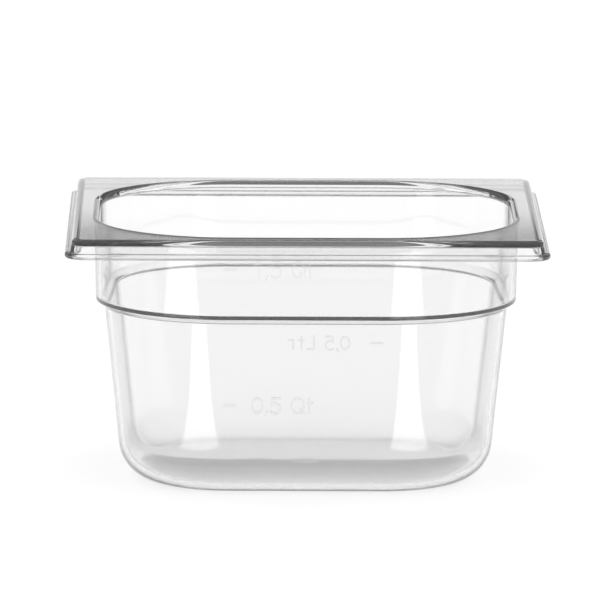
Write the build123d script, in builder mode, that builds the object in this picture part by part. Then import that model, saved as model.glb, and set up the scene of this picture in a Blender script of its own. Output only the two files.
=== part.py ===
"""Deli food pan: one-sixth gastronorm size, clear plastic, a single moulding.

Units are millimetres, +Z is up. The origin is the centre of the underside.
X runs along the longer side, Y along the shorter side, and the front is -Y.
"""
import os
from math import atan, cos, degrees, radians, sin, tan

from build123d import *

# Overall size
LENGTH = 176.0  # along X, over the lip
WIDTH = 162.0  # along Y, over the lip
HEIGHT = 97.5  # underside to top of rim

# Body
WALL = 2.2  # side wall
FLOOR = 2.5  # floor
FLANGE = 10.2  # lip edge to the wall under the rim, all round
UPPER_DRAFT = 1.0  # degrees, wall above the shoulder
LOWER_DRAFT = 5.9  # degrees, wall below the shoulder
SHOULDER_Z = 65.1  # foot of the stacking shoulder, outside
SHOULDER_STEP = 3.3  # how far the shoulder steps in
SHOULDER_RISE = 2.1  # height of the sloped shoulder
CORNER = 50.0  # outer corner radius of the wall under the rim
SHOULDER_ROUND = 0.7  # rounds along the shoulder
BASE_ROUND = 15.0  # outer round from wall to floor

# Rim
PLATE = 2.6  # thickness of the flat top
SKIRT = 2.2  # thickness of the skirt around the flat top
SKIRT_SLOPE = 1.0  # how far the skirt leans in from foot to top
LIP = 2.2  # thickness of the lip at the foot of the skirt
LIP_REACH = 1.8  # lip beyond the foot of the skirt
RIM_HEIGHT = 7.1  # underside of lip to top of rim
LIP_CORNER = 8.0  # corner radius of the lip in plan
RIM_ROUND = 1.8  # outer edge of the flat top
LIP_ROUND = 1.0  # edge of the lip
MOUTH_ROUND = 1.9  # inner edge of the flat top

# Raised marks
MARK_RISE = 0.22
MARK_TEXT = 6.4  # character height of the quart marks
LITRE_TEXT = 5.6  # character height of the litre marks
STROKE = 0.85  # stroke width of the characters and lines
PITCH = 0.8  # character spacing over height
NARROW = {",": 0.25, " ": 0.45, "t": 0.5}  # the same for narrow characters
QUART_MIDDLE = -9.0  # centre of the quart characters from the middle of the wall
LITRE_MIDDLE = -5.7  # the same for the litre characters
LINE_LENGTH = 5.0
LINE_OFFSET = 28.0  # centre of a level line from the middle of the wall
BASE_MARK_X = 40.0
QUART_HIGH_Z = 85.7  # 1.5 quart level
QUART_LOW_Z = 34.5  # 0.5 quart level
LITRE_Z = 36.6  # 0.5 litre level
BASE_TEXT = 4.4
BASE_PLATE_LENGTH = 12.0
GATE_DIAMETER = 15.0
GATE_DEPTH = 0.8

# Derived heights
rim_foot = HEIGHT - RIM_HEIGHT
lip_top = rim_foot + LIP
plate_under = HEIGHT - PLATE
shoulder_top = SHOULDER_Z + SHOULDER_RISE
step_lift = WALL * 0.55  # inner step sits a little above the outer one


def upper_inset(z):
    """Distance from the lip edge to the outer wall above the shoulder."""
    return FLANGE + (rim_foot - z) * tan(radians(UPPER_DRAFT))


def lower_inset(z):
    """Distance from the lip edge to the outer wall below the shoulder."""
    foot = upper_inset(SHOULDER_Z) + SHOULDER_STEP
    return foot + (SHOULDER_Z - z) * tan(radians(LOWER_DRAFT))


def outline(inset, radius):
    """Rounded rectangle a given distance inside the lip edge."""
    RectangleRounded(LENGTH - 2 * inset, WIDTH - 2 * inset, radius)


def wall_radius(inset):
    """Corner radius of the wall: every level shares the same corner centre."""
    return CORNER + FLANGE - inset


def at_height(edges, z):
    """Edges that lie wholly at height z."""
    return edges.filter_by_position(Axis.Z, z - 0.01, z + 0.01)


def outer_ring(edges):
    """Edges of the lip outline."""
    return ShapeList([e for e in edges if near_lip(e.center())])


def inner_ring(edges):
    """Edges around the mouth."""
    return ShapeList([e for e in edges if not near_lip(e.center(), FLANGE * 0.8)])


def near_lip(point, margin=LIP_REACH / 2):
    """True where a point lies within a margin of the lip edge in plan."""
    corner = LIP_CORNER
    gap_x = abs(point.X) - (LENGTH / 2 - corner)
    gap_y = abs(point.Y) - (WIDTH / 2 - corner)
    if gap_x > 0 and gap_y > 0:
        return (gap_x**2 + gap_y**2) ** 0.5 > corner - margin
    return max(gap_x, gap_y) > corner - margin


def front_wall(z, inset, draft):
    """Plane on the outer face of the front wall at height z, facing out."""
    tilt = radians(draft)
    return Plane(origin=(0, inset - WIDTH / 2, z), x_dir=(1, 0, 0), z_dir=(0, -cos(tilt), -sin(tilt)))


def back_wall(z, inset, draft):
    """Plane on the outer face of the back wall at height z, facing out."""
    tilt = radians(draft)
    return Plane(origin=(0, WIDTH / 2 - inset, z), x_dir=(-1, 0, 0), z_dir=(0, cos(tilt), -sin(tilt)))


def ring(x, y, half_width, half_height):
    """Closed oval stroke."""
    with Locations((x, y)):
        Ellipse(half_width, half_height)
        Ellipse(half_width - STROKE, half_height - STROKE, mode=Mode.SUBTRACT)


def pen(edge):
    """Open stroke along an edge, with round ends."""
    trace(edge, line_width=STROKE)
    with Locations(edge @ 0, edge @ 1):
        Circle(STROKE / 2)


def line(x, size, start, end):
    """Straight stroke between two points given in character heights."""
    pen(Edge.make_line((x + start[0] * size, start[1] * size), (x + end[0] * size, end[1] * size)))


def arc(x, size, start, middle, end):
    """Curved stroke through three points given in character heights."""
    points = [(x + p[0] * size, p[1] * size) for p in (start, middle, end)]
    pen(Edge.make_three_point_arc(*points))


def character(kind, x, size):
    """One raised character, centred on x, of the given height."""
    if kind == "0":
        ring(x, 0, size * 0.36, size * 0.5)
    elif kind == "1":
        line(x, size, (-0.16, 0.26), (0.05, 0.43))
        line(x, size, (0.05, 0.43), (0.05, -0.43))
    elif kind == "5":
        line(x, size, (0.25, 0.43), (-0.21, 0.43))
        line(x, size, (-0.21, 0.43), (-0.25, 0.05))
        arc(x, size, (-0.25, 0.05), (0.27, -0.14), (-0.27, -0.36))
    elif kind == "6":
        ring(x, -size * 0.18, size * 0.33, size * 0.32)
        arc(x, size, (-0.26, -0.18), (-0.15, 0.24), (0.2, 0.43))
    elif kind == "Q":
        ring(x, 0, size * 0.42, size * 0.5)
        line(x, size, (0.12, -0.2), (0.4, -0.46))
    elif kind == "t":
        line(x, size, (0, 0.43), (0, -0.43))
        line(x, size, (-0.12, 0.16), (0.2, 0.16))
    elif kind == "r":
        line(x, size, (-0.1, 0.2), (-0.1, -0.43))
        arc(x, size, (-0.1, 0.0), (0.02, 0.16), (0.2, 0.18))
    elif kind == "L":
        line(x, size, (-0.2, 0.43), (-0.2, -0.43))
        line(x, size, (-0.2, -0.43), (0.24, -0.43))
    elif kind == "/":
        line(x, size, (-0.18, -0.43), (0.18, 0.43))
    elif kind == ",":
        line(x, size, (0.03, -0.38), (-0.05, -0.56))


def label(kinds, size, middle=0.0):
    """A row of characters around a middle."""
    widths = [size * NARROW.get(kind, PITCH) for kind in kinds]
    x = middle - sum(widths) / 2
    for kind, width in zip(kinds, widths):
        character(kind, x + width / 2, size)
        x += width


def level_lines(*places):
    """Short level lines beside the characters."""
    with Locations(*[(place, 0) for place in places]):
        Rectangle(LINE_LENGTH, STROKE)


os.makedirs("parts", exist_ok=True)

inner_shoulder = SHOULDER_Z + step_lift
inner_foot = lower_inset(inner_shoulder) + WALL
gate_edge = GATE_DIAMETER / 2
gate_radius = (gate_edge**2 + GATE_DEPTH**2) / (2 * GATE_DEPTH)
shoulder_in = lower_inset(SHOULDER_Z) - upper_inset(shoulder_top)
shoulder_lean = degrees(atan(shoulder_in / SHOULDER_RISE))
inner_head = inner_foot - shoulder_in
skirt_foot = LIP_REACH
skirt_rise = HEIGHT - lip_top
skirt_lean = degrees(atan(SKIRT_SLOPE / skirt_rise))

with BuildPart() as cavity:
    # Below the shoulder, the shoulder, above the shoulder
    with BuildSketch(Plane.XY.offset(FLOOR)):
        outline(lower_inset(FLOOR) + WALL, wall_radius(lower_inset(FLOOR) + WALL))
    extrude(amount=inner_shoulder - FLOOR, taper=-LOWER_DRAFT)
    with BuildSketch(Plane.XY.offset(inner_shoulder)):
        outline(inner_foot, wall_radius(inner_foot))
    extrude(amount=SHOULDER_RISE, taper=-shoulder_lean)
    with BuildSketch(Plane.XY.offset(inner_shoulder + SHOULDER_RISE)):
        outline(inner_head, wall_radius(inner_head))
    extrude(amount=HEIGHT - inner_shoulder - SHOULDER_RISE, taper=-UPPER_DRAFT)
    fillet(at_height(cavity.edges(), FLOOR), BASE_ROUND - WALL)
    fillet(at_height(cavity.edges(), inner_shoulder), SHOULDER_ROUND)
    fillet(at_height(cavity.edges(), inner_shoulder + SHOULDER_RISE), SHOULDER_ROUND)

with BuildPart() as pan:
    # Rim: leaning skirt closed by the flat top
    with BuildSketch(Plane.XY.offset(lip_top)):
        outline(skirt_foot, LIP_CORNER - LIP_REACH)
    extrude(amount=skirt_rise, taper=skirt_lean)
    top_edges = pan.faces().sort_by(Axis.Z)[-1].edges()
    fillet(top_edges, RIM_ROUND)
    # Lip at the foot of the skirt
    with BuildSketch(Plane.XY.offset(rim_foot)):
        outline(0, LIP_CORNER)
    extrude(amount=LIP)
    # Hollow under the flat top
    with BuildSketch(Plane.XY.offset(rim_foot)):
        outline(skirt_foot + SKIRT, LIP_CORNER - LIP_REACH - SKIRT)
    extrude(amount=plate_under - rim_foot, taper=skirt_lean, mode=Mode.SUBTRACT)
    # Body above the shoulder
    with BuildSketch(Plane.XY.offset(shoulder_top)):
        outline(upper_inset(shoulder_top), wall_radius(upper_inset(shoulder_top)))
    extrude(amount=plate_under + PLATE / 2 - shoulder_top, taper=-UPPER_DRAFT)
    # Sloped shoulder
    with BuildSketch(Plane.XY.offset(SHOULDER_Z)):
        outline(lower_inset(SHOULDER_Z), wall_radius(lower_inset(SHOULDER_Z)))
    extrude(amount=SHOULDER_RISE, taper=-shoulder_lean)
    # Body below the shoulder
    with BuildSketch():
        outline(lower_inset(0), wall_radius(lower_inset(0)))
    extrude(amount=SHOULDER_Z, taper=-LOWER_DRAFT)
    # Rounds outside: floor, shoulder, lip and skirt foot
    fillet(pan.faces().sort_by(Axis.Z)[0].edges(), BASE_ROUND)
    fillet(at_height(pan.edges(), shoulder_top), SHOULDER_ROUND)
    fillet(at_height(pan.edges(), SHOULDER_Z), SHOULDER_ROUND)
    lip_edges = outer_ring(at_height(pan.edges(), rim_foot)) + outer_ring(at_height(pan.edges(), lip_top))
    fillet(lip_edges, LIP_ROUND)
    # Cavity, and the round of the mouth
    add(cavity.part, mode=Mode.SUBTRACT)
    fillet(inner_ring(at_height(pan.edges(), HEIGHT)), MOUTH_ROUND)
    # Moulding point: shallow dome in the floor, hollow underneath
    with BuildSketch(Plane.XZ):
        with BuildLine():
            Polyline((gate_edge, FLOOR), (gate_edge, FLOOR / 2), (0, FLOOR / 2), (0, FLOOR + GATE_DEPTH))
            RadiusArc((0, FLOOR + GATE_DEPTH), (gate_edge, FLOOR), gate_radius)
        make_face()
    revolve(axis=Axis.Z)
    with BuildSketch(Plane.XZ):
        with BuildLine():
            Polyline((gate_edge, 0), (0, 0), (0, GATE_DEPTH))
            RadiusArc((0, GATE_DEPTH), (gate_edge, 0), gate_radius)
        make_face()
    revolve(axis=Axis.Z, mode=Mode.SUBTRACT)
pan.part.label = "pan"

with BuildPart() as quart_marks:
    with BuildSketch(front_wall(QUART_HIGH_Z, upper_inset(QUART_HIGH_Z), UPPER_DRAFT)):
        label(("1", ",", "5", " ", "Q", "t"), MARK_TEXT, QUART_MIDDLE)
        level_lines(-LINE_OFFSET)
    extrude(amount=MARK_RISE)
    with BuildSketch(front_wall(QUART_LOW_Z, lower_inset(QUART_LOW_Z), LOWER_DRAFT)):
        label(("0", ",", "5", " ", "Q", "t"), MARK_TEXT, QUART_MIDDLE)
        level_lines(-LINE_OFFSET)
    extrude(amount=MARK_RISE)
quart_marks.part.label = "quart_marks"

with BuildPart() as litre_marks:
    with BuildSketch(back_wall(LITRE_Z, lower_inset(LITRE_Z), LOWER_DRAFT)):
        label(("0", ",", "5", " ", "L", "t", "r"), LITRE_TEXT, LITRE_MIDDLE)
        level_lines(-LINE_OFFSET)
    extrude(amount=MARK_RISE)
litre_marks.part.label = "litre_marks"

with BuildPart() as base_marks:
    with BuildSketch(Plane.XY.offset(FLOOR)):
        with Locations((-BASE_MARK_X, 0)):
            Rectangle(BASE_PLATE_LENGTH, BASE_TEXT * 0.5)
        label(("1", "/", "6"), BASE_TEXT, -BASE_MARK_X / 2)
    extrude(amount=MARK_RISE)
base_marks.part.label = "base_marks"

for piece in (pan, quart_marks, litre_marks, base_marks):
    box = piece.part.bounding_box()
    print(piece.part.label, piece.part.is_valid, len(piece.part.solids()), round(piece.part.volume, 1), box)
    export_step(piece.part, f"parts/{piece.part.label}.step")
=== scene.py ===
"""Deli food pan in clear plastic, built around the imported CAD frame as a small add-on."""
import math

import bpy
from mathutils import Matrix, Vector


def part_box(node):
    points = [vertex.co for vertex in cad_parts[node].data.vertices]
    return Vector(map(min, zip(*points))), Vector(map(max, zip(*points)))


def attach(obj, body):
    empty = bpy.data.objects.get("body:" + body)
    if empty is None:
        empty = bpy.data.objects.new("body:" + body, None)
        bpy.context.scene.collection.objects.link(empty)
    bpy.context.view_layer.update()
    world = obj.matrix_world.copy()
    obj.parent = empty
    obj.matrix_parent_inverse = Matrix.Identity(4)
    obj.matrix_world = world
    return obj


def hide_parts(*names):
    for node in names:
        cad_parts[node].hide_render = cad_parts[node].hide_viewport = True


bl_info = {
    "name": "Deli Food Pan",
    "version": (1, 0, 0),
    "blender": (4, 5, 0),
    "location": "View3D > Sidebar > Food Pan",
    "description": "Builds a clear one-sixth gastronorm food pan and its plain studio",
    "category": "Object",
}

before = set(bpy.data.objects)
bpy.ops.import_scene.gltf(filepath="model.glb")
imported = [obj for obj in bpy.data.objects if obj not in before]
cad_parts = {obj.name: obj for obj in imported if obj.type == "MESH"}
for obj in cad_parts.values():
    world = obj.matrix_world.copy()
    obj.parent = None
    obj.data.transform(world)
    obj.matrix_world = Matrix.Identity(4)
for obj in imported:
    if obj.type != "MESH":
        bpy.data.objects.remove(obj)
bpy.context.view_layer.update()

MM = 0.001
GATE_STEPS = 10  # rings from the middle of the gate mark to its edge
GATE_MARGIN = 2  # rings on the flat around it
FLOOR_HALF = 30.0  # middle of the studio floor to its edge
FLOOR_DROP = 0.1 * MM  # floor below the foot of the pan
LIGHT_SIDE = 46 * MM  # pivot of each light from the middle of the pan
LIGHT_FRONT = 66 * MM
LIGHT_LIFT = 2 * MM

# Soft lights low in front of the pan: side, degrees from the front, near, far, width, glow
LIGHTS = (
    ("left light", -1, 43, 0.28, 0.62, 0.20, 1.5),
    ("left foot light", -1, 28, 0.03, 0.18, 0.045, 1.7),
    ("right light", 1, 20, 0.28, 0.62, 0.18, 1.5),
    ("right foot light", 1, 23, 0.03, 0.18, 0.044, 1.9),
)


# ---------------------------------------------------------------- node maths


class Value:
    """A node socket or a number that can be used in ordinary arithmetic."""

    def __init__(self, graph, socket):
        self.graph = graph
        self.socket = socket

    def _math(self, operation, *others):
        return self.graph.math(operation, self, *others)

    def __add__(self, other):
        return self._math("ADD", other)

    def __radd__(self, other):
        return self.graph.math("ADD", other, self)

    def __sub__(self, other):
        return self._math("SUBTRACT", other)

    def __rsub__(self, other):
        return self.graph.math("SUBTRACT", other, self)

    def __mul__(self, other):
        return self._math("MULTIPLY", other)

    def __rmul__(self, other):
        return self.graph.math("MULTIPLY", other, self)

    def __truediv__(self, other):
        return self._math("DIVIDE", other)

    def __rtruediv__(self, other):
        return self.graph.math("DIVIDE", other, self)

    def __mod__(self, other):
        return self._math("FLOORED_MODULO", other)

    def floor(self):
        return self._math("FLOOR")

    def sin(self):
        return self._math("SINE")

    def cos(self):
        return self._math("COSINE")

    def sign(self):
        return self._math("SIGN")

    def size(self):
        return self._math("ABSOLUTE")

    def low(self, other):
        return self._math("MINIMUM", other)

    def high(self, other):
        return self._math("MAXIMUM", other)


class Graph:
    """Adds nodes to a tree: type, settings, then values or links by socket name."""

    def __init__(self, tree):
        self.tree = tree

    def node(self, kind, settings=None, **inputs):
        node = self.tree.nodes.new(kind)
        for key, value in (settings or {}).items():
            setattr(node, key, value)
        for key, value in inputs.items():
            self.plug(node.inputs[key.replace("_", " ")], value)
        return node

    def mix(self, factor, a, b):
        node = self.tree.nodes.new("ShaderNodeMix")
        node.data_type = "RGBA"
        for socket, value in ((node.inputs[0], factor), (node.inputs[6], a), (node.inputs[7], b)):
            self.plug(socket, value)
        return Value(self, node.outputs[2])

    def plug(self, socket, value):
        if isinstance(value, Value):
            value = value.socket
        if isinstance(value, bpy.types.NodeSocket):
            self.tree.links.new(value, socket)
        elif value is not None:
            socket.default_value = value

    def out(self, node, name=0):
        return Value(self, node.outputs[name])

    def math(self, operation, *operands):
        node = self.tree.nodes.new("ShaderNodeMath")
        node.operation = operation
        for socket, operand in zip(node.inputs, operands):
            self.plug(socket, operand)
        return Value(self, node.outputs[0])

    def combine(self, x, y, z):
        return self.out(self.node("ShaderNodeCombineXYZ", X=x, Y=y, Z=z))

    def separate(self, vector):
        node = self.node("ShaderNodeSeparateXYZ", Vector=vector)
        return [Value(self, node.outputs[axis]) for axis in "XYZ"]


# ---------------------------------------------------------------- sizes


class PanSizes(bpy.types.PropertyGroup):
    """Sizes of the moulding that its bounding box doesn't give."""

    wall: bpy.props.FloatProperty(
        name="Wall", description="Side wall thickness", default=2.2 * MM, unit="LENGTH")
    floor: bpy.props.FloatProperty(
        name="Floor", description="Floor thickness", default=2.5 * MM, unit="LENGTH")
    flange: bpy.props.FloatProperty(
        name="Flange", description="Lip edge to the wall under the rim", default=10.2 * MM, unit="LENGTH")
    upper_draft: bpy.props.FloatProperty(
        name="Upper draft", description="Lean of the wall above the shoulder",
        default=math.radians(1.0), subtype="ANGLE")
    lower_draft: bpy.props.FloatProperty(
        name="Lower draft", description="Lean of the wall below the shoulder",
        default=math.radians(5.9), subtype="ANGLE")
    shoulder_height: bpy.props.FloatProperty(
        name="Shoulder height", description="Foot of the stacking shoulder", default=65.1 * MM, unit="LENGTH")
    shoulder_step: bpy.props.FloatProperty(
        name="Shoulder step", description="How far the shoulder steps in", default=3.3 * MM, unit="LENGTH")
    shoulder_rise: bpy.props.FloatProperty(
        name="Shoulder rise", description="Height of the sloped shoulder", default=2.1 * MM, unit="LENGTH")
    corner: bpy.props.FloatProperty(
        name="Corner", description="Outer corner radius of the wall", default=50.0 * MM, unit="LENGTH")
    shoulder_round: bpy.props.FloatProperty(
        name="Shoulder round", description="Rounds along the shoulder", default=0.7 * MM, unit="LENGTH")
    base_round: bpy.props.FloatProperty(
        name="Base round", description="Round from wall to floor", default=15.0 * MM, unit="LENGTH")
    plate: bpy.props.FloatProperty(
        name="Rim plate", description="Thickness of the flat top", default=2.6 * MM, unit="LENGTH")
    skirt: bpy.props.FloatProperty(
        name="Skirt", description="Thickness of the skirt", default=2.2 * MM, unit="LENGTH")
    skirt_slope: bpy.props.FloatProperty(
        name="Skirt slope", description="How far the skirt leans in", default=1.0 * MM, unit="LENGTH")
    lip: bpy.props.FloatProperty(
        name="Lip", description="Thickness of the lip", default=2.2 * MM, unit="LENGTH")
    lip_reach: bpy.props.FloatProperty(
        name="Lip reach", description="Lip beyond the skirt", default=1.8 * MM, unit="LENGTH")
    rim_height: bpy.props.FloatProperty(
        name="Rim height", description="Lip underside to top", default=7.1 * MM, unit="LENGTH")
    lip_corner: bpy.props.FloatProperty(
        name="Lip corner", description="Corner radius of the lip", default=8.0 * MM, unit="LENGTH")
    rim_round: bpy.props.FloatProperty(
        name="Rim round", description="Outer edge of the flat top", default=1.8 * MM, unit="LENGTH")
    lip_round: bpy.props.FloatProperty(
        name="Lip round", description="Edge of the lip", default=1.0 * MM, unit="LENGTH")
    mouth_round: bpy.props.FloatProperty(
        name="Mouth round", description="Inner edge of the flat top", default=1.9 * MM, unit="LENGTH")
    gate_diameter: bpy.props.FloatProperty(
        name="Gate diameter", description="Moulding point in the floor", default=15.0 * MM, unit="LENGTH")
    gate_depth: bpy.props.FloatProperty(
        name="Gate depth", description="Depth of the moulding point", default=0.8 * MM, unit="LENGTH")
    corner_steps: bpy.props.IntProperty(
        name="Corner steps", description="Mesh steps round each corner", default=28, min=6)
    clear_colour: bpy.props.FloatVectorProperty(
        name="Clear colour", description="Tint of the clear plastic", subtype="COLOR", size=4,
        default=(0.965, 0.965, 0.965, 1.0))
    # Painted shade: a near-black colour mixed into the clear plastic where the wall is seen edge on, drawing
    # dark edge outlines; only partly a stand-in for the longer path through the plastic
    edge_shade_colour: bpy.props.FloatVectorProperty(
        name="Edge colour", description="Tint where the wall is seen edge on", subtype="COLOR", size=4,
        default=(0.02, 0.02, 0.02, 1.0))


class StageSizes(bpy.types.PropertyGroup):
    """Camera, floor and lights."""

    distance: bpy.props.FloatProperty(
        name="Distance", description="Camera to the pan", default=3.2877, unit="LENGTH")
    elevation: bpy.props.FloatProperty(
        name="Elevation", description="Camera above the horizon",
        default=math.radians(9.5306), subtype="ANGLE")
    turn: bpy.props.FloatProperty(
        name="Turn", description="Camera round the pan", default=math.radians(-0.5901), subtype="ANGLE")
    roll: bpy.props.FloatProperty(
        name="Roll", description="Camera roll", default=math.radians(0.281), subtype="ANGLE")
    lens: bpy.props.FloatProperty(
        name="Lens", description="Focal length in millimetres", default=532.05)
    paper_top: bpy.props.FloatProperty(
        name="Paper top", description="How high the white paper behind the pan reaches",
        default=math.radians(8.757), subtype="ANGLE")
    paper: bpy.props.FloatVectorProperty(
        name="Paper", description="Glow of the white paper", subtype="COLOR", size=4,
        default=(1.02, 1.02, 1.02, 1.0))
    floor_colour: bpy.props.FloatVectorProperty(
        name="Floor", description="Colour of the pale floor", subtype="COLOR", size=4,
        default=(0.9, 0.9, 0.9, 1.0))
    floor_glow: bpy.props.FloatProperty(
        name="Floor glow", description="Light given off by the floor itself", default=0.68)
    ceiling: bpy.props.FloatVectorProperty(
        name="Ceiling", description="Glow of the soft light overhead", subtype="COLOR", size=4,
        default=(0.6, 0.6, 0.6, 1.0))
    gap: bpy.props.FloatVectorProperty(
        name="Gap", description="Glow of the dark gap above the paper behind the pan",
        subtype="COLOR", size=4,
        default=(0.14, 0.14, 0.14, 1.0))
    room: bpy.props.FloatVectorProperty(
        name="Room", description="Glow of the room above the paper", subtype="COLOR", size=4,
        default=(0.40, 0.40, 0.40, 1.0))


def rounded_path(corners, support):
    """Points along a path whose corners carry rounds, with support points beside each round.

    Each corner is (inset, height, round, kind); each point comes back as (inset, height, kind)."""
    points = []
    last = len(corners) - 1
    for i, (u, z, radius, kind) in enumerate(corners):
        here = Vector((u, z))
        if i in (0, last) or radius == 0:
            points.append((u, z, kind))
            continue
        before = (Vector(corners[i - 1][:2]) - here).normalized()
        after = (Vector(corners[i + 1][:2]) - here).normalized()
        half = before.angle(after) / 2
        reach = radius / math.tan(half)
        centre = here + (before + after).normalized() * radius / math.sin(half)
        start = here + before * reach - centre
        sweep = start.angle_signed(here + after * reach - centre)
        steps = max(4, round(abs(math.degrees(sweep)) / 10))
        lead = here + before * (reach + support)
        points.append((lead.x, lead.y, kind))
        for k in range(steps + 1):
            turn = Matrix.Rotation(-sweep * k / steps, 2)
            spot = centre + turn @ start
            points.append((spot.x, spot.y, kind))
        trail = here + after * (reach + support)
        points.append((trail.x, trail.y, kind))
    return points


def moulding_profile(sizes, height):
    """Half section of the pan as (inset from the lip edge, corner radius, height)."""
    s = sizes
    foot = height - s.rim_height
    lip_top = foot + s.lip
    plate_under = height - s.plate
    upper = lambda z: s.flange + (foot - z) * math.tan(s.upper_draft)
    shoulder = upper(s.shoulder_height) + s.shoulder_step
    lower = lambda z: shoulder + (s.shoulder_height - z) * math.tan(s.lower_draft)
    top = s.shoulder_height + s.shoulder_rise
    step = shoulder - upper(top)
    lift = s.wall * 0.55
    inner_foot = lower(s.shoulder_height + lift) + s.wall
    lean = s.skirt_slope / (height - lip_top)
    skirt_in = s.lip_reach + s.skirt
    pocket = skirt_in + lean * (plate_under - foot)
    mouth = inner_foot - step - (height - top - lift) * math.tan(s.upper_draft)
    flat = 45 * MM
    corners = [
        (flat, 0, 0, "wall"),
        (lower(0), 0, s.base_round, "wall"),
        (shoulder, s.shoulder_height, s.shoulder_round, "wall"),
        (upper(top), top, s.shoulder_round, "wall"),
        (upper(plate_under), plate_under, 0.6 * MM, "wall"),
        (pocket, plate_under, 0.6 * MM, "rim"),
        (skirt_in, foot, 0.3 * MM, "rim"),
        (0, foot, s.lip_round, "rim"),
        (0, lip_top, s.lip_round, "rim"),
        (s.lip_reach, lip_top, 0.4 * MM, "rim"),
        (s.lip_reach + s.skirt_slope, height, s.rim_round, "rim"),
        (mouth, height, s.mouth_round, "wall"),
        (inner_foot - step, top + lift, s.shoulder_round, "wall"),
        (inner_foot, s.shoulder_height + lift, s.shoulder_round, "wall"),
        (lower(s.floor) + s.wall, s.floor, s.base_round - s.wall, "wall"),
        (flat, s.floor, 0, "wall"),
    ]
    rows = []
    for u, z, kind in rounded_path(corners, 0.12 * MM):
        reach = s.corner + s.flange if kind == "wall" else s.lip_corner
        rows.append((u, max(reach - u, 1.0 * MM), z))
    return rows


def gate_rows(sizes, length, level):
    """Rings of the shallow round moulding point, from its middle outwards."""
    rim = sizes.gate_diameter / 2
    sphere = (rim**2 + sizes.gate_depth**2) / (2 * sizes.gate_depth)
    rows = []
    for k in range(GATE_STEPS + GATE_MARGIN + 1):
        r = rim * k / GATE_STEPS
        drop = sphere - math.sqrt(sphere**2 - min(r, rim) ** 2)
        rise = max(sizes.gate_depth - drop, 0)
        rows.append((length / 2 - r, r, level + rise))
    return rows


def make_profile_mesh(sizes, length, height):
    rows = gate_rows(sizes, length, 0.0)
    rows += moulding_profile(sizes, height)
    rows += gate_rows(sizes, length, sizes.floor)[::-1]
    mesh = bpy.data.meshes.new("pan profile")
    edges = [(k, k + 1) for k in range(len(rows) - 1)]
    mesh.from_pydata(rows, edges, [])
    return mesh


def shell_tree():
    """Geometry nodes: wraps a half section round a rounded rectangle."""
    tree = bpy.data.node_groups.new("Moulded shell", "GeometryNodeTree")
    face = tree.interface
    face.new_socket(name="Profile", in_out="INPUT", socket_type="NodeSocketGeometry")
    for name, kind in (("Length", "Float"), ("Width", "Float"), ("Corner steps", "Int"),
                       ("Profile points", "Int"), ("Support", "Float"), ("Material", "Material")):
        face.new_socket(name=name, in_out="INPUT", socket_type="NodeSocket" + kind)
    face.new_socket(name="Shell", in_out="OUTPUT", socket_type="NodeSocketGeometry")
    g = Graph(tree)
    given = g.node("NodeGroupInput")
    length, width = g.out(given, "Length"), g.out(given, "Width")
    steps, rows = g.out(given, "Corner steps"), g.out(given, "Profile points")
    per_corner = steps + 3
    columns = per_corner * 4
    grid = g.node("GeometryNodeMeshGrid", Vertices_X=columns + 1, Vertices_Y=rows)
    index = g.out(g.node("GeometryNodeInputIndex"))
    row = index % rows
    column = (index / rows).floor() % columns
    sample = g.node("GeometryNodeSampleIndex", {"data_type": "FLOAT_VECTOR"},
                    Geometry=g.out(given, "Profile"),
                    Value=g.out(g.node("GeometryNodeInputPosition")), Index=row)
    inset, radius, height = g.separate(g.out(sample))
    centre_x = (length / 2 - inset - radius).high(0.0)
    centre_y = (width / 2 - inset - radius).high(0.0)
    quarter = (column / per_corner).floor()
    along = column % per_corner - 1
    held = along.high(0.0).low(steps)
    angle = (quarter + held / steps) * (math.pi / 2)
    middle = (quarter + 0.5) * (math.pi / 2)
    slide = (along - held) * g.out(given, "Support").low(centre_x.low(centre_y) * 0.5)
    x = middle.cos().sign() * centre_x + angle.cos() * radius - angle.sin() * slide
    y = middle.sin().sign() * centre_y + angle.sin() * radius + angle.cos() * slide
    shaped = g.node("GeometryNodeSetPosition", Geometry=g.out(grid, "Mesh"), Position=g.combine(x, y, height))
    welded = g.node("GeometryNodeMergeByDistance", Geometry=g.out(shaped), Distance=2e-6)
    smooth = g.node("GeometryNodeSetShadeSmooth", Geometry=g.out(welded))
    real = g.node("GeometryNodeRealizeInstances", Geometry=g.out(smooth))
    painted = g.node("GeometryNodeSetMaterial", Geometry=g.out(real), Material=g.out(given, "Material"))
    g.node("NodeGroupOutput", Shell=g.out(painted))
    return tree


def apply_tree(name, base_mesh, tree, values):
    """Runs a tree on a mesh and keeps the result as a plain mesh object."""
    source = bpy.data.objects.new(name + " source", base_mesh)
    bpy.context.scene.collection.objects.link(source)
    modifier = source.modifiers.new("Build", "NODES")
    modifier.node_group = tree
    for item in tree.interface.items_tree:
        if item.item_type == "SOCKET" and item.in_out == "INPUT" and item.name in values:
            modifier[item.identifier] = values[item.name]
    bpy.context.view_layer.update()
    graph = bpy.context.evaluated_depsgraph_get()
    mesh = bpy.data.meshes.new_from_object(source.evaluated_get(graph))
    mesh.name = name
    made = bpy.data.objects.new(name, mesh)
    bpy.context.scene.collection.objects.link(made)
    source.modifiers.remove(modifier)
    bpy.data.objects.remove(source)
    return made


def face_out(mesh):
    """Turns the faces outward when the enclosed volume comes out negative."""
    volume = 0.0
    for polygon in mesh.polygons:
        a, *rest = [mesh.vertices[v].co for v in polygon.vertices]
        for b, c in zip(rest, rest[1:]):
            volume += a.dot(b.cross(c))
    if volume < 0:
        mesh.flip_normals()


# ---------------------------------------------------------------- materials


def new_material(name):
    """An empty material and the graph that fills it."""
    material = bpy.data.materials.new(name)
    material.use_nodes = True
    material.node_tree.nodes.clear()
    return material, Graph(material.node_tree)


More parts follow.
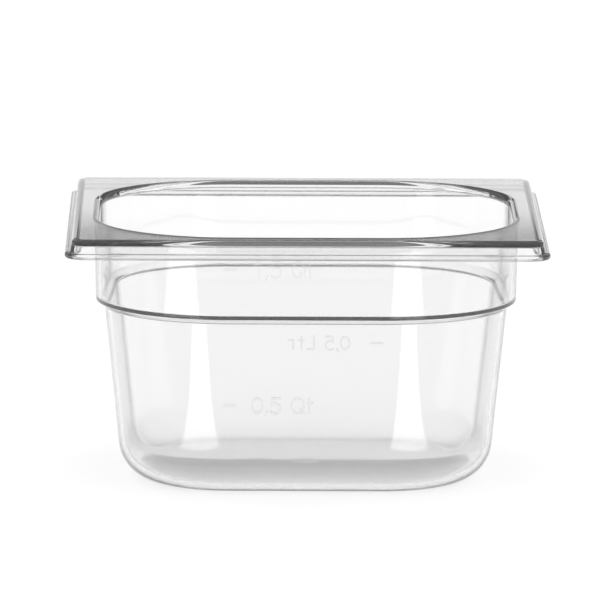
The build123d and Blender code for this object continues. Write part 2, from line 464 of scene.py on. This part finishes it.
def clear_plastic(name, colour, edge, rim_height):
    """Clear plastic, faintly uneven, with painted shade: its colour darkens to near black where the wall is
    met edge on. This draws dark edge outlines and only partly stands in for the longer path through the
    plastic.
    """
    material, g = new_material(name)
    place = g.out(g.node("ShaderNodeTexCoord"), "Object")
    slow = g.node("ShaderNodeTexNoise", Vector=place, Scale=45.0, Detail=2.0)
    fine = g.node("ShaderNodeTexNoise", Vector=place, Scale=900.0, Detail=3.0)
    rough = g.out(slow, "Fac") * 0.02 + g.out(fine, "Fac") * 0.02 + 0.005
    below_rim = ((rim_height - g.separate(place)[2]) * 400.0).high(0.0).low(1.0)
    bump = g.node("ShaderNodeBump", Strength=0.02, Distance=0.001,
                  Height=g.out(slow, "Fac") * below_rim)
    # Painted shade: the base colour turns towards the near-black edge colour as the surface is met edge on,
    # drawing dark outlines on the clear walls
    facing = g.out(g.node("ShaderNodeLayerWeight", Blend=0.5), "Facing")
    grazing = ((facing - 0.7) * 3.333).high(0.0).low(1.0)
    shader = g.node("ShaderNodeBsdfPrincipled", Base_Color=g.mix(grazing, colour, edge), Roughness=rough,
                    IOR=1.585, Transmission_Weight=0.965, Normal=g.out(bump))
    g.node("ShaderNodeOutputMaterial", Surface=g.out(shader))
    return material


def pale_floor(name, colour, glow):
    """Matt pale floor that gives off part of its own light."""
    material, g = new_material(name)
    shader = g.node("ShaderNodeBsdfPrincipled", Base_Color=colour, Roughness=1.0, Specular_IOR_Level=0.0,
                    Emission_Color=colour, Emission_Strength=glow)
    g.node("ShaderNodeOutputMaterial", Surface=g.out(shader))
    return material


# ---------------------------------------------------------------- operators


def make_world(scene, stage):
    """Soft studio surroundings, fixed in the scene's own directions."""
    world = bpy.data.worlds.new("studio")
    scene.world = world
    world.use_nodes = True
    g = Graph(world.node_tree)
    x, y, z = g.separate(g.out(g.node("ShaderNodeTexCoord"), "Generated"))
    # White paper low down behind the pan, a dark gap over it, a room that brightens to the ceiling
    low_part = ((math.sin(stage.paper_top) - z) * 400.0 + 0.5).high(0.0).low(1.0)
    behind = ((y * 0.4 - x.size()) * 10.0).high(0.0).low(1.0)
    above = ((z - 0.35) / 0.4).high(0.0).low(1.0)
    gap = ((y * 0.6 - x.size()) * 10.0).high(0.0).low(1.0)
    room = g.mix(gap, stage.room, stage.gap)
    shade = g.mix(low_part * behind, g.mix(above, room, stage.ceiling), stage.paper)
    sky = world.node_tree.nodes["Background"]
    g.plug(sky.inputs["Color"], shade)
    sky.inputs["Strength"].default_value = 1.0
    scene.view_settings.view_transform = "Standard"


def make_lights(scene):
    """Soft lights lying on the floor in front of the pan."""
    for name, side, degrees, near, far, width, glow in LIGHTS:
        data = bpy.data.lights.new(name, "AREA")
        data.shape = "RECTANGLE"
        data.size, data.size_y = width, far - near
        data.energy = glow * math.pi * data.size * data.size_y
        lamp = bpy.data.objects.new(name, data)
        lamp.matrix_world = (Matrix.Translation((side * LIGHT_SIDE, -LIGHT_FRONT, LIGHT_LIFT))
                             @ Matrix.Rotation(side * math.radians(degrees), 4, "Z")
                             @ Matrix.Translation((0, -(near + far) / 2, 0))
                             @ Matrix.Rotation(math.pi, 4, "X"))
        scene.collection.objects.link(lamp)


class OBJECT_OT_food_pan_shell(bpy.types.Operator):
    """Builds the clear moulded pan"""

    bl_idname = "object.food_pan_shell"
    bl_label = "Pan"

    def execute(self, context):
        sizes = context.scene.food_pan
        low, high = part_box("pan")
        length, width, height = high - low
        profile = make_profile_mesh(sizes, length, height)
        rim = high.z - sizes.rim_height
        material = clear_plastic("clear plastic", sizes.clear_colour, sizes.edge_shade_colour, rim)
        pan = apply_tree("food_pan", profile, shell_tree(), {
            "Length": length, "Width": width, "Corner steps": sizes.corner_steps,
            "Profile points": len(profile.vertices), "Support": 0.8 * MM, "Material": material})
        face_out(pan.data)
        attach(pan, "root")
        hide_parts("pan")
        return {"FINISHED"}


class OBJECT_OT_food_pan_marks(bpy.types.Operator):
    """Places the raised level marks and floor marks"""

    bl_idname = "object.food_pan_marks"
    bl_label = "Marks"

    def execute(self, context):
        sizes = context.scene.food_pan
        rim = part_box("pan")[1].z - sizes.rim_height
        material = clear_plastic("mark plastic", sizes.clear_colour, sizes.edge_shade_colour, rim)
        outward = {"quart_marks": (0, -1, 0), "litre_marks": (0, 1, 0), "base_marks": (0, 0, 1)}
        for node, push in outward.items():
            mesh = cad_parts[node].data.copy()
            mesh.transform(Matrix.Translation(Vector(push) * 0.02 * MM))
            mesh.materials.clear()
            mesh.materials.append(material)
            marks = bpy.data.objects.new("raised_" + node, mesh)
            context.scene.collection.objects.link(marks)
            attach(marks, "root")
            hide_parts(node)
        return {"FINISHED"}


class OBJECT_OT_food_pan_stage(bpy.types.Operator):
    """Adds the pale floor, the lights and the camera"""

    bl_idname = "object.food_pan_stage"
    bl_label = "Stage"

    def execute(self, context):
        scene = context.scene
        stage = scene.food_pan_stage
        mesh = bpy.data.meshes.new("floor")
        quarters = ((-1, -1), (1, -1), (1, 1), (-1, 1))
        corners = [(x * FLOOR_HALF, y * FLOOR_HALF, -FLOOR_DROP) for x, y in quarters]
        mesh.from_pydata(corners, [], [(0, 1, 2, 3)])
        mesh.materials.append(pale_floor("pale floor", stage.floor_colour, stage.floor_glow))
        floor = bpy.data.objects.new("studio_floor", mesh)
        scene.collection.objects.link(floor)
        make_world(scene, stage)
        make_lights(scene)
        e, t = stage.elevation, stage.turn
        back = Vector((math.sin(t) * math.cos(e), -math.cos(t) * math.cos(e), math.sin(e)))
        low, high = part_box("pan")
        middle = Vector((0, 0, high.z - 50.07 * MM))
        place = middle + back * stage.distance
        aim = Vector((-1.986 * MM, 0, high.z - 34.36 * MM))
        data = bpy.data.cameras.new("camera")
        data.lens = stage.lens
        data.clip_end = 100
        camera = bpy.data.objects.new("camera", data)
        look = (aim - place).to_track_quat("-Z", "Y").to_matrix().to_4x4()
        camera.matrix_world = Matrix.Translation(place) @ look @ Matrix.Rotation(stage.roll, 4, "Z")
        scene.collection.objects.link(camera)
        scene.camera = camera
        return {"FINISHED"}


class VIEW3D_PT_food_pan(bpy.types.Panel):
    """Sizes and buttons of the food pan"""

    bl_label = "Food Pan"
    bl_idname = "VIEW3D_PT_food_pan"
    bl_space_type = "VIEW_3D"
    bl_region_type = "UI"
    bl_category = "Food Pan"

    def draw(self, context):
        for group in (context.scene.food_pan, context.scene.food_pan_stage):
            for key in group.__annotations__:
                self.layout.prop(group, key)
        for operator in OPERATORS:
            self.layout.operator(operator.bl_idname)


OPERATORS = (OBJECT_OT_food_pan_shell, OBJECT_OT_food_pan_marks, OBJECT_OT_food_pan_stage)
CLASSES = (PanSizes, StageSizes) + OPERATORS + (VIEW3D_PT_food_pan,)


def register():
    for item in CLASSES:
        bpy.utils.register_class(item)
    bpy.types.Scene.food_pan = bpy.props.PointerProperty(type=PanSizes)
    bpy.types.Scene.food_pan_stage = bpy.props.PointerProperty(type=StageSizes)


def unregister():
    del bpy.types.Scene.food_pan_stage
    del bpy.types.Scene.food_pan
    for item in reversed(CLASSES):
        bpy.utils.unregister_class(item)


def main():
    register()
    bpy.ops.object.food_pan_shell()
    bpy.ops.object.food_pan_marks()
    bpy.ops.object.food_pan_stage()


if __name__ == "__main__":
    main()
